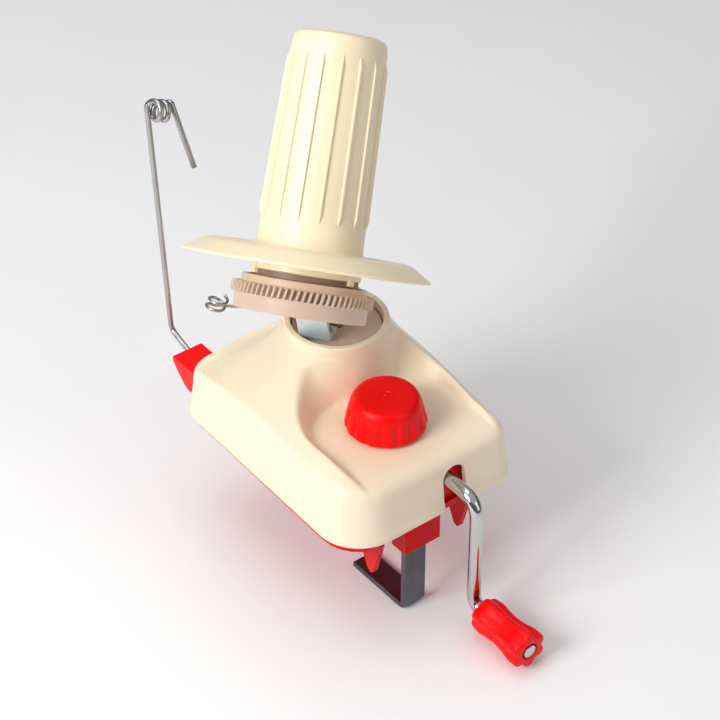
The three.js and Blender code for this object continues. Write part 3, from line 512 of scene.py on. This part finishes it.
def build_cover():
    base = outline(0)
    lean = outline(WALL_LEAN)
    inner = outline(COVER_WALL + WALL_LEAN)

    def neck(radius, z):
        return [(p[0] / math.hypot(*p) * radius, p[1] / math.hypot(*p) * radius, z) for p in base]

    rim = [(NECK_INNER, NECK_BASE - 1.5), (NECK_INNER, NECK_TOP - 1.2)]
    rim += rounded([(NECK_INNER, NECK_TOP - 1.2), (NECK_INNER, NECK_TOP), (NECK_OUTER, NECK_TOP),
                    (NECK_OUTER, NECK_TOP - 1.6)], 1.25, 5)[1:]
    rim += [(NECK_OUTER, NECK_TOP - 3.2), (NECK_OUTER + 0.02, NECK_BASE + 0.8)]
    rings = [neck(*place) for place in rim]
    shares = [1 - (1 - EDGE_SHARE) * (k / 90) ** 1.08 for k in range(91)]
    rings += [slope_ring(lean, share) for share in shares]
    for k in range(1, 9):
        angle = math.pi / 2 * k / 9
        rings.append(slope_ring(lean, EDGE_SHARE * (1 - math.sin(angle)), EDGE_ROUND * (1 - math.cos(angle))))
    rings.append([(p[0], p[1], edge_height(p) - EDGE_ROUND) for p in lean])
    for t in (k / 12 for k in range(1, 10)):
        heights = [(edge_height(p) - EDGE_ROUND) * (1 - t) + COVER_BOTTOM * t for p in lean]
        rings.append([(a[0] + (b[0] - a[0]) * t, a[1] + (b[1] - a[1]) * t, z)
                      for a, b, z in zip(lean, base, heights)])
    lip = [(0.16, 4.0), (0.14, 3.5), (-0.14, 3.3), (-0.2, 2.9), (-0.2, 0.9), (0.0, 0.2), (0.3, 0.0)]
    rings += [level_ring(outline(inset), COVER_BOTTOM + z) for inset, z in lip]
    rings.append(level_ring(outline(COVER_WALL - 0.2), COVER_BOTTOM))
    rings.append(level_ring(outline(COVER_WALL), COVER_BOTTOM + 0.4))
    rings.append([(p[0], p[1], edge_height(p) - EDGE_ROUND - 1) for p in inner])
    rings += [slope_ring(inner, share, 0, COVER_WALL)
              for share in (0.09, 0.15, 0.26, 0.38, 0.5, 0.62, 0.73, 0.82, 0.9, 1)]
    verts, faces = loft(rings, loop=True)
    faces = [tuple(reversed(face)) for face in faces]
    cover = piece("cover_shell", verts, faces, "housing", "cream", CREAM, ("housing_cover",), sharp=50)

    arch = [(SLOT_X - SLOT_HALF, -1), (SLOT_X + SLOT_HALF, -1)]
    arch += [(SLOT_X + SLOT_HALF * math.cos(a), CRANK_Z + SLOT_HALF * math.sin(a))
             for a in (math.pi * k / 32 for k in range(33))]
    crank_slot = loft([[(x, COVER_LO.y + y, z) for x, z in arch] for y in (9, -6)], close_ends=True)
    coil_hole = rod(0.95, 30, 60, COIL_FOOT.x, COIL_FOOT.y, 20)
    screw_hole = rod(SCREW_HOLE_R, 20, 40, KNOB_MID.x, KNOB_MID.y, 40)
    for shape in (crank_slot, coil_hole, screw_hole, cuboid(*TONGUE_SLOT)):
        cut(cover, *shape, sharp=50)


build_cover()


# ---------------------------------------------------------------- clamp knob
def build_knob():
    z0, top = KNOB_LO.z, KNOB_HI.z
    base_r, top_r, shoulder = (KNOB_HI.x - KNOB_LO.x) / 2 + 0.05, 14.2, z0 + 0.62 * (top - z0)
    shoulder_r = base_r - (base_r - top_r) * 0.6
    profile = [(base_r - 1.2, z0), (base_r, z0 + 0.2), (base_r, z0 + 1.6), (shoulder_r, shoulder),
               (top_r + 0.5, top - 3.2), (top_r - 1, top - 0.75), (top_r - 3.2, top - 0.15), (0, top)]
    profile = subdivided(rounded(profile, 1.6, 5), 0.45)
    flutes, around = 16, 16 * 20
    groove_r, groove_depth, groove_end = 1.9, 0.7, shoulder - 0.6

    def ring(r, h):
        points = []
        for i in range(around):
            a = 2 * math.pi * i / around
            off = (a * flutes / (2 * math.pi) + 0.5) % 1 - 0.5
            side = off * 2 * math.pi / flutes * r
            away = math.hypot(side, max(0.0, h - groove_end))
            depth = groove_depth * max(0.0, 1 - (away / groove_r) ** 2) * min(1.0, 0.35 + (h - z0) / 5)
            if r <= top_r - 1:
                depth = 0.0
            points.append(((r - depth) * math.cos(a), (r - depth) * math.sin(a), h))
        return points

    screw_recess = [circle(r, h, around) for r, h in ((5.2, z0 + 8), (5.2, z0 + 0.6), (5.5, z0))]
    outside = [ring(r, h) for r, h in profile if r > 2.4]
    mark = [(2.2, 0.0), (2.0, -0.28), (1.7, -0.34), (0.6, -0.3), (0.45, -0.02), (0.2, 0.12)]
    mark = [circle(r, top - 0.02 + h, around) for r, h in mark]
    verts, faces = loft(screw_recess + outside + mark, close_ends=True)
    piece("knob_body", verts, faces, "knob", "red", RED, ("clamp_knob",),
          Matrix.Translation((KNOB_MID.x, KNOB_MID.y, 0)), sharp=42)


build_knob()


# ---------------------------------------------------------------- crank and grip
def build_crank():
    arm_y, low = -93.0, GRIP_AXIS_Z
    corners = [(0, ROD_HI.y, CRANK_Z), (0, arm_y, CRANK_Z), (0, arm_y, low), (0, ROD_LO.y, low)]
    verts, faces = swept(bent(corners, [8, 5.5]), radius=3.0, sides=40, round_ends=0.25)
    piece("crank_bar", verts, faces, "crank", "chrome", CHROME, ("crank_rod",), sharp=50)


def build_grip():
    widths = [0.93, 1, 0.93, 0.9, 0.97, 1.08, 1.07]
    grip_r, bore_r, lobes = 8, 3.35, 6
    length, middle = GRIP_HI.y - GRIP_LO.y, GRIP_AXIS_Z
    around, along = 120, 60

    def width(t):
        """Smooth curve through the widths, from the crank's end (0) to the free end (1)."""
        k = min(5, int(t * 6))
        f = t * 6 - k
        before, a, b, after = (widths[max(k - 1, 0)], widths[k], widths[k + 1], widths[min(k + 2, 6)])
        return 0.5 * (2 * a + (b - before) * f + (2 * before - 5 * a + 4 * b - after) * f * f
                      + (3 * a - before - 3 * b + after) * f ** 3)

    def ring(t, shrink, hollows=1.0):
        y = GRIP_HI.y - t * length
        points = []
        for i in range(around):
            a = 2 * math.pi * i / around
            hollow = ((1 + math.cos(lobes * a)) / 2) ** 1.5
            r = grip_r * width(t) * (1 - (0.12 + 0.08 * t) * hollows * hollow) - shrink
            points.append((r * math.cos(a), y, middle + r * math.sin(a)))
        return points

    def bore(t, radius):
        return [(x, GRIP_HI.y - t * length, middle + z) for x, z, _ in circle(radius, 0, around)]

    rings = [bore(0.9, bore_r), bore(0.01, bore_r), bore(0, 3.7)]
    rings += [ring(t, 1.1 * (1 - math.sin(a)), 0.9)
              for t, a in ((0.0, 0), (0.004, 0.45), (0.014, 0.95), (0.03, 1.35))]
    rings += [ring(0.04 + 0.92 * k / along, 0) for k in range(along + 1)]
    rings += [ring(t, 0.9 * (1 - math.sin(a)))
              for t, a in ((0.97, 1.35), (0.986, 0.95), (0.996, 0.45), (1.0, 0))]
    rings += [bore(1.0, 4.0), bore(0.985, 3.7), bore(0.95, bore_r)]
    verts, faces = loft(rings, loop=True)
    piece("grip_body", verts, faces, "grip", "red", RED, ("grip",), sharp=45)


build_crank()
build_grip()


# ---------------------------------------------------------------- toothed drum
def build_drum():
    hub = [(3.35, -4.2), (6.0, -4.2), (6.0, -0.6)]
    skirt = rounded([(24.4, -0.6), (25.0, -8.6), (26.8, -8.6), (27.1, -2.6), (27.4, -2.2)], 0.5)
    top = rounded([(27.4, 2.2), (25.4, 2.3), (25.3, 5.4), (22.9, 5.4), (22.9, 1.4), (6.0, 1.4), (6.0, 3.9),
                   (3.35, 3.9)], 0.45)
    parts = [turned(hub + skirt + top, 144)]
    teeth, root, tip, half, slices = 72, 27.3, 28.9, 2.2, 6
    pitch, slant = 2 * math.pi / teeth, 0.35
    for i in range(teeth):
        rings = []
        for k in range(slices + 1):
            t = k / slices
            middle = i * pitch + slant * pitch * (t - 0.5)
            ease = 0.3 if k in (0, slices) else 0.0
            low, high = 0.53 * pitch / 2, (0.34 * pitch / 2) * (1 - ease)
            reach = tip - ease
            flank = [(root - 0.8, low), (root, low), (reach - 0.35, high * 1.1), (reach, high * 0.75)]
            section = [(r, middle - a) for r, a in flank] + [(r, middle + a) for r, a in reversed(flank)]
            z = -half + 2 * half * t
            rings.append([(r * math.cos(a), r * math.sin(a), z) for r, a in section])
        parts.append(loft(rings, close_ends=True))
    piece("drum_body", *merged(*parts), "drum", "beige", BEIGE, ("toothed_drum",), TILTED)
    # A thin dark ring at the tooth roots: painted shade between the teeth.
    root_shade_band = turned([(27.2, -2.0), (27.5, -2.0), (27.5, 2.0), (27.2, 2.0)], 144)
    piece("drum_tooth_root_painted_shade", *root_shade_band, "drum", "beige", PAINTED_SHADE_BEIGE, (), TILTED)


build_drum()


# ---------------------------------------------------------------- winding cone
def build_cone():
    foot_r, foot_z, neck_r, neck_z = 21.6, 19.2, 19.2, 100.5
    outside = [(20.5, 1.8), (21.4, 1.8), (21.4, 8.0), (22.5, 8.2), (22.5, 16.0), (40.0, 16.0, 1.2),
               (49.2, 11.2, 0.3), (50.0, 11.3, 0.4), (50.4, 12.2, 0.6), (41.0, 18.0, 3.2), (22.6, 18.0, 0.9),
               (foot_r, foot_z, 0.9), (19.3, 99.0, 3.5), (18.4, 103.2, 2.6), (15.6, 104.6, 3.0), (9.0, 105.0)]
    outside = rounded(outside, 0.8, 8)
    inside = [(1.2, 103.3), (9.0, 103.2), (15.8, 102.2), (17.2, 99.5), (19.6, 18.0)]
    cap = [outside[-1], (4.0, 105.15), (1.2, 105.2)]
    profile = inside + subdivided(outside, 4.0) + cap
    parts = [loft([circle(r, h, 192) for r, h in profile], close_ends=True)]

    ribs, phase, low, high, slices = 16, 0.83, 29.0, 95.5, 20
    taper = (foot_r - neck_r) / (neck_z - foot_z)
    for i in range(ribs):
        a = 2 * math.pi * (i + phase) / ribs
        radial, across = Vector((math.cos(a), math.sin(a), 0)), Vector((-math.sin(a), math.cos(a), 0))
        rings = []
        for t in (k / slices for k in range(slices + 1)):
            z = low + (high - low) * t
            surface = foot_r - (z - foot_z) * taper
            rise = min(1.0, math.sqrt(max(0.0, min(t, 1 - t)) / 0.025 + 0.02))
            section = [(-0.6, -0.8), (-0.6, rise - 0.35), (-0.42, rise - 0.08), (0.0, rise),
                       (0.42, rise - 0.08), (0.6, rise - 0.35), (0.6, -0.8)]
            rings.append([radial * (surface + out) + across * s + Vector((0, 0, z)) for s, out in section])
        parts.append(loft(rings, close_ends=True))

    lug_section = [(21.2, -1.7), (22.9, -1.6), (23.1, 0), (22.9, 1.6), (21.2, 1.7)]
    for a in (math.radians(8 + 120 * k) for k in range(3)):
        radial, across = Vector((math.cos(a), math.sin(a), 0)), Vector((-math.sin(a), math.cos(a), 0))
        lug = [radial * out + across * s for out, s in lug_section]
        parts.append(loft([level_ring(lug, z) for z in (6.2, 9.5, 13.0, 16.2)], close_ends=True))
    piece("cone_body", *merged(*parts), "cone", "cream", CONE_CREAM, ("winding_cone",), TILTED)
    # A dark ring low on the collar: painted shade for the shadowed gap between the cone's collar and the
    # drum.
    collar_shade_ring = turned([(21.35, 5.0), (21.6, 5.0), (21.6, 7.9), (21.35, 7.9)], 96)
    piece("cone_collar_painted_shade", *collar_shade_ring, "cone", "beige", PAINTED_SHADE_BEIGE, (), TILTED)


build_cone()


# ---------------------------------------------------------------- bracket
def build_bracket():
    tilt = math.acos(DRUM_AXIS.z)
    turn = math.atan2(LEAN.y, LEAN.x)
    post_to_drum = Matrix.Rotation(-turn, 3, "Z") @ Vector((DRUM_CENTRE.x, DRUM_CENTRE.y, 0))
    thick, half, side = 1.8, 6.8, post_to_drum.y + 0.1
    foot_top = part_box("rotor_turntable")[1].z / MM + 0.3 + thick

    def on_drum(down, lift):
        return (post_to_drum.x + down * math.cos(tilt) + lift * math.sin(tilt),
                DRUM_CENTRE.z - down * math.sin(tilt) + lift * math.cos(tilt))

    # The strip's upper side, seen along the fold lines, from the foot up to the drum's axle.
    line = rounded([(-4.2, foot_top), (-12.4, foot_top), on_drum(17.3, -4.6), on_drum(-7, -4.6)],
                   1.6, 8)
    rings = []
    for i, point in enumerate(line):
        step = Vector(line[min(i + 1, len(line) - 1)]) - Vector(line[max(i - 1, 0)])
        near = Vector(point)
        far = near + Vector((-step.y, step.x)).normalized() * thick
        edge = [(near, half - 0.3), (near.lerp(far, 0.17), half), (near.lerp(far, 0.83), half),
                (far, half - 0.3)]
        rings.append([(p.x, side - s, p.y) for p, s in edge]
                     + [(p.x, side + s, p.y) for p, s in reversed(edge)])
    verts, faces = loft(rings, close_ends=True)
    matrix = Matrix.Rotation(turn, 4, "Z")
    bracket = piece("bracket_strip", verts, faces, "rotor", "zinc", ZINC_PAINTED_SKY, ("spindle_bracket",), matrix, 45)
    verts, faces = rod(2.9, -8.6, -2.6, 0, 0, 40)
    cut(bracket, [TILTED @ Vector(p) for p in verts], faces, sharp=45)
    for offset in (-3.2, 3.2):
        verts, faces = rod(1.75, 50, 60, -7.9, side + offset, 24)
        cut(bracket, [matrix @ Vector(p) for p in verts], faces, sharp=45)


build_bracket()


# ---------------------------------------------------------------- guide arm and tension coil
def build_arm():
    x, z = ARM_AXIS.x, ARM_AXIS.z
    top = Vector((x - 4, 72, ARM_HI.z - 6.6))
    leg = bent([(x, ARM_LO.y, z), (x, 57, z), (x, 70, z + 4.5), top], [3, 4])
    to_edge = Vector((0, 3.7, 0))
    eye = helix(top - to_edge, (0.9, 0, -0.42), to_edge, turns=2.25, advance=8.8, steps=80)
    tail_end = Vector((-26, 63, 109.5))
    verts, faces = swept(leg[:-1] + eye + [tail_end], radius=1.2, sides=18)
    piece("arm_wire", verts, faces, "arm", "steel", STEEL, ("guide_arm",), sharp=60)


def build_coil():
    axis = Vector((0.4, -0.13, 0.91)).normalized()
    to_edge = Vector((0.6, 0.8, 0))
    to_edge = (to_edge - axis * to_edge.dot(axis)).normalized() * 3.8
    loops = helix((-29.6, 47.8, 45.9), axis, to_edge, turns=1.9, advance=6.6, steps=110)
    knee = (COIL_FOOT.x, COIL_FOOT.y, 44.5)
    leg = bent([COIL_FOOT, knee, loops[0]], [2])
    verts, faces = swept(leg[:-1] + loops, radius=0.65, sides=14)
    piece("coil_wire", verts, faces, "housing", "steel", STEEL, ("tension_coil",), sharp=60)


build_arm()
build_coil()


# ---------------------------------------------------------------- clamp bracket
def build_clamp():
    lo, hi = node_box("clamp_bracket")
    t, front, back = 2.6, lo.y, hi.y
    x0, x1, jaw_top, leg_z = -19.5, -8.0, lo.z + t, hi.z - t
    outer = rounded([(front + t + 5, leg_z + t), (front, leg_z + t, 2.2), (front, lo.z, 4.2), (back, lo.z)],
                    2, 10)
    inner = rounded([(front + t + 5, leg_z), (front + t, leg_z, 0.6), (front + t, jaw_top, 1.6),
                     (back, jaw_top)], 1, 10)
    rings = []
    for out, inn in zip(outer, inner):
        out, inn = Vector(out), Vector(inn)
        section = [(x0 + 0.35, out), (x0, out.lerp(inn, 0.13)), (x0, out.lerp(inn, 0.87)), (x0 + 0.35, inn),
                   (x1 - 0.35, inn), (x1, out.lerp(inn, 0.87)), (x1, out.lerp(inn, 0.13)), (x1 - 0.35, out)]
        rings.append([(x, p.x, p.y) for x, p in section])
    verts, faces = loft(rings, close_ends=True)
    piece("clamp_strip", verts, faces, "clamp", "zinc", DARK_ZINC, ("clamp_bracket",))
    leg = cuboid((x0, front + t + 3.6, leg_z), (KNOB_MID.x + 4.2, KNOB_MID.y + 7, leg_z + t))
    leg = piece("clamp_leg", *leg, "clamp", "zinc", DARK_ZINC, ())
    cut(leg, *rod(SCREW_HOLE_R, 0, 30, KNOB_MID.x, KNOB_MID.y, 32))
    bevel(leg, 0.25)


build_clamp()


# ---------------------------------------------------------------- nodes that keep their shape
KEPT = [
    # The base plate takes the red darkened as painted shade.
    (PAINTED_SHADE_RED, 0.35, ["base_plate"]),
    (RED, 0.7, ["arm_block"]),
    (BEIGE, 0.3, ["rotor_turntable"]),
    (GEAR_WHITE, 0.12, ["rotor_pinion", "crank_face_gear", "fixed_bevel_pinion"]),
    (STEEL, 0.12, ["thrust_washer", "axle_clip", "crank_retaining_ring"]),
    (STEEL, 0.15, ["gear_pin", "bracket_rivet_1", "bracket_rivet_2"]),
    (STEEL, 0.15, ["cover_screw_1", "cover_screw_2", "cover_screw_3", "cover_screw_4"]),
    (STEEL, 0.2, ["tilt_axle"]),
    (STEEL, 0.25, ["clamp_screw", "centre_post"]),
    (STEEL, 0.4, ["clamp_nut"]),
]
for material, edge, names in KEPT:
    for name in names:
        node = frame["nodes"][name]
        node.data.materials.clear()
        node.data.materials.append(material)
        node.data.polygons.foreach_set("use_smooth", [True] * len(node.data.polygons))
        bevel(node, edge, weld=True)
        node.modifiers.new("normals", "WEIGHTED_NORMAL").keep_sharp = True


# ---------------------------------------------------------------- floor, light and camera
scene = bpy.context.scene
LIT_POINT = Vector((0, 0, 0.05))


def build_floor():
    half, gap = 3.0, 0.35 * MM
    corners = [(-half, -half), (half, -half), (half, half), (-half, half)]
    mesh = bpy.data.meshes.new("floor")
    mesh.from_pydata(level_ring(corners, CAD_LO[2] - gap), [], [(0, 1, 2, 3)])
    n = Nodes("floor_paint")
    tone = n.ramp(n.noise(3, 3), [(0.3, (0.86, 0.86, 0.87)), (0.7, (0.89, 0.89, 0.895))])
    n.link(tone, n.shader.inputs["Base Color"])
    n.link(n.spread(n.noise(40, 4), 0.6, 0.75), n.shader.inputs["Roughness"])
    mesh.materials.append(n.material)
    floor = bpy.data.objects.new("floor", mesh)
    scene.collection.objects.link(floor)


def area_light(name, place, size, power, colour):
    data = bpy.data.lights.new(name, "AREA")
    data.energy = power
    data.color = colour
    data.size = size
    light = bpy.data.objects.new(name, data)
    light.location = place
    light.rotation_euler = (LIT_POINT - Vector(place)).to_track_quat("-Z", "Y").to_euler()
    scene.collection.objects.link(light)


build_floor()
area_light("key", (-0.95, -0.05, 0.62), 0.5, 9.6, (1.0, 0.985, 0.965))
area_light("fill", (0.25, -1.0, 0.5), 0.7, 1.6, (1.0, 0.97, 0.95))
area_light("top", (-0.1, 0.3, 1.1), 0.7, 3.4, (0.98, 0.98, 1.0))

world = bpy.data.worlds.new("studio")
world.use_nodes = True
sky = world.node_tree
height = sky.nodes.new("ShaderNodeSeparateXYZ")
sky.links.new(sky.nodes.new("ShaderNodeTexCoord").outputs["Generated"], height.inputs["Vector"])
shades = sky.nodes.new("ShaderNodeValToRGB")
stops = shades.color_ramp.elements
stops.new(0.4)
stops.new(0.6)
for element, (position, value) in zip(stops, [(0.0, 0.25), (0.48, 0.22), (0.6, 0.85), (1.0, 0.95)]):
    element.position = position
    element.color = (value, value * 1.005, value * 1.03, 1)
sky.links.new(height.outputs["Z"], shades.inputs["Fac"])
sky.links.new(shades.outputs["Color"], sky.nodes["Background"].inputs["Color"])
sky.nodes["Background"].inputs["Strength"].default_value = 0.58
scene.world = world
scene.view_settings.view_transform = "Standard"

camera_data = bpy.data.cameras.new("camera")
camera_data.lens = 120
camera_data.sensor_width = 36
camera = bpy.data.objects.new("camera", camera_data)
forward = Vector((0.48182, 0.61671, -0.62251)).normalized()
camera.location = Vector((-483.3, -634.4, 668.1)) * MM
camera.rotation_euler = forward.to_track_quat("-Z", "Y").to_euler()
scene.collection.objects.link(camera)
scene.camera = camera

bpy.context.view_layer.update()
